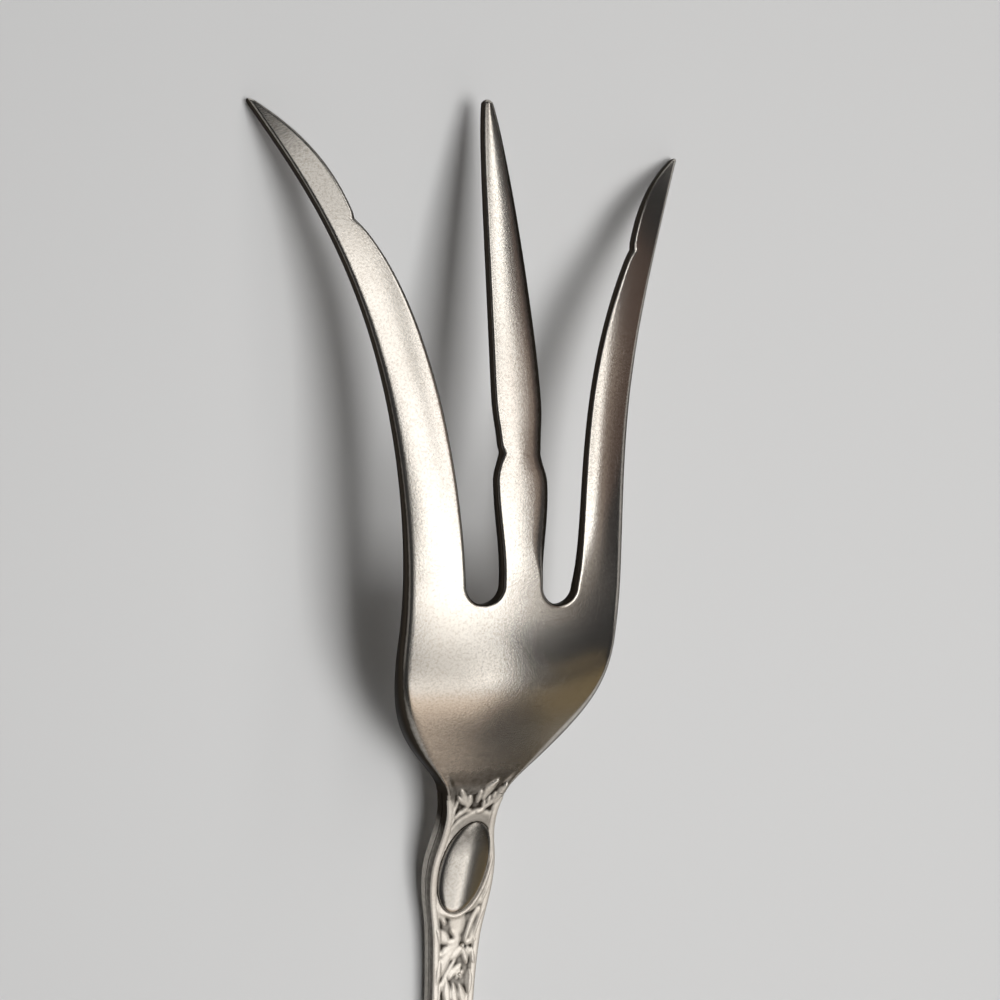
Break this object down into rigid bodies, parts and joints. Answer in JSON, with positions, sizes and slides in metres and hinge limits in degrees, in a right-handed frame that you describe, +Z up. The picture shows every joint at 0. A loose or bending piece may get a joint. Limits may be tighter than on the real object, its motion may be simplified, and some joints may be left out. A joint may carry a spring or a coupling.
{
  "type": "serving fork",
  "caption": "Serving fork lying back up: dished bowl, flared and nicked tines, and a tang set in a hollow ornamented handle with an oval plate on its stem.",
  "frame": {"origin": "on the table under the middle of the fork, at the bottom centre of its box, with the fork lying back up", "axes": "+Y along the fork from the handle to the tines, +X to the right seen from above, +Z up out of the back of the bowl"},
  "size_m": [0.0592, 0.218, 0.0207],
  "materials": {
    "head_silver": "worn satin silver plate",
    "handle_silver": "struck and toned silver plate",
    "plate_silver": "rubbed bright silver plate",
    "filling": "matte cement"
  },
  "bodies": {
    "root": {"fork_head": "head_silver", "handle_back_shell": "handle_silver", "handle_front_shell": "handle_silver", "handle_filler": "filling", "oval_plate": "plate_silver"}
  },
  "joints": []
}
